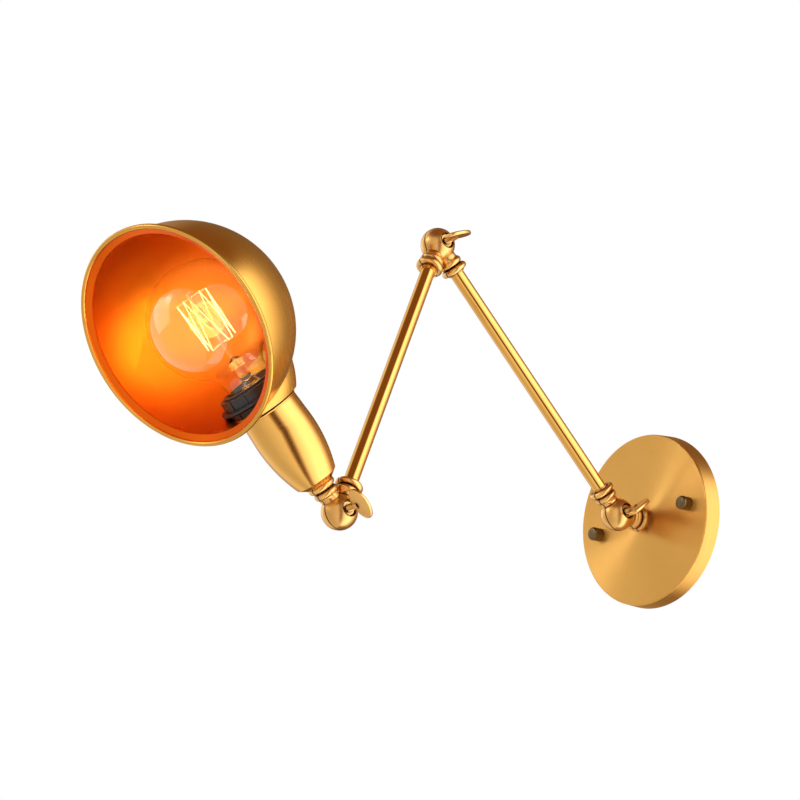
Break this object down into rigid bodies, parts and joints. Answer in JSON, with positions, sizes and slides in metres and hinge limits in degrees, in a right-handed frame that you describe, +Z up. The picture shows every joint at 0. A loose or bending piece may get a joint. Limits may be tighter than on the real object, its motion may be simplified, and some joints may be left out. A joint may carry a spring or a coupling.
{
  "type": "folding wall lamp",
  "caption": "Wall lamp with a round canopy, jointed folding arms on ball knuckles with wing screws, and a swivelling side-necked dome shade around a globe bulb.",
  "frame": {"origin": "centre of the canopy's wall face, on the axis of the base swivel", "axes": "+Z up, +Y into the wall, so the lamp reaches out along -Y; the arms swing in the plane x = 0 and the wing screws stand on the +X side"},
  "size_m": [0.1421, 0.4477, 0.2373],
  "materials": {
    "satin_brass": "brushed satin, lacquered",
    "antique_brass": "polished antique, darker in the grooves",
    "dark_brass": "dark antique",
    "plated_steel": "zinc plated",
    "fibre": "pressed fibre",
    "black_resin": "moulded, satin",
    "porcelain_white": "glazed ceramic",
    "contact_brass": "bright",
    "clear_glass": "clear",
    "black_insulator": "opaque black glass",
    "filament_wire": "drawn wire"
  },
  "bodies": {
    "canopy": {"canopy": "satin_brass", "mounting_strap": "plated_steel", "strap_studs": "plated_steel", "cap_nuts": "dark_brass", "earth_washer": "plated_steel", "earth_screw": "contact_brass"},
    "base_swivel": {"wall_knuckle_base_half": "antique_brass", "base_nipple": "plated_steel", "base_wave_washer": "plated_steel", "base_nut": "plated_steel", "wall_spring_washer": "plated_steel"},
    "arm_one": {"wall_knuckle_arm_half": "antique_brass", "wall_friction_washer": "fibre", "arm_one_tube": "satin_brass", "elbow_arm_one_half": "antique_brass", "elbow_spring_washer": "plated_steel"},
    "arm_two": {"elbow_arm_two_half": "antique_brass", "elbow_friction_washer": "fibre", "arm_two_tube": "satin_brass", "head_knuckle_arm_half": "antique_brass", "head_friction_washer": "fibre"},
    "head": {"head_knuckle_head_half": "antique_brass", "head_spring_washer": "plated_steel", "head_nipple": "plated_steel", "head_nut": "plated_steel", "socket_cover": "satin_brass", "lampholder_cap": "black_resin", "lampholder_body": "black_resin", "lampholder_core": "porcelain_white", "terminal_screws": "contact_brass", "screw_shell": "contact_brass", "centre_contact": "contact_brass", "lower_shade_ring": "black_resin", "upper_shade_ring": "black_resin", "bulb_glass": "clear_glass", "bulb_cap": "contact_brass", "bulb_insulator": "black_insulator", "bulb_tip": "contact_brass", "bulb_stem": "clear_glass", "filament_supports": "filament_wire", "filament": "filament_wire"},
    "shade": {"shade": "satin_brass"},
    "wall_screw": {"wall_wing_screw": "antique_brass"},
    "elbow_screw": {"elbow_wing_screw": "antique_brass"},
    "head_screw": {"head_wing_screw": "antique_brass"}
  },
  "joints": [
    {"name": "base_swivel", "type": "hinge", "parent": "canopy", "child": "base_swivel", "pos_m": [0, -0.03695, 0], "axis": [0, -1, 0], "range_deg": [-170, 170]},
    {"name": "wall_knuckle", "type": "hinge", "parent": "base_swivel", "child": "arm_one", "pos_m": [0, -0.03695, 0], "axis": [-1, 0, 0], "range_deg": [-138, 42]},
    {"name": "elbow_knuckle", "type": "hinge", "parent": "arm_one", "child": "arm_two", "pos_m": [0, -0.18603, 0.16557], "axis": [1, 0, 0], "range_deg": [-147, 2.5]},
    {"name": "head_knuckle", "type": "hinge", "parent": "arm_two", "child": "head", "pos_m": [0, -0.28335, -0.03485], "axis": [-1, 0, 0], "range_deg": [-226.5, 2.5]},
    {"name": "shade_turn", "type": "hinge", "parent": "head", "child": "shade", "pos_m": [0, -0.28335, -0.03485], "axis": [0, -0.6691, 0.7431], "range_deg": [-180, 180]},
    {"name": "wall_wing_screw_turn", "type": "hinge", "parent": "arm_one", "child": "wall_screw", "pos_m": [0, -0.03695, 0], "axis": [1, 0, 0], "range_deg": [0, 360]},
    {"name": "elbow_wing_screw_turn", "type": "hinge", "parent": "arm_two", "child": "elbow_screw", "pos_m": [0, -0.18603, 0.16557], "axis": [1, 0, 0], "range_deg": [0, 360]},
    {"name": "head_wing_screw_turn", "type": "hinge", "parent": "arm_two", "child": "head_screw", "pos_m": [0, -0.28335, -0.03485], "axis": [1, 0, 0], "range_deg": [0, 360]}
  ]
}
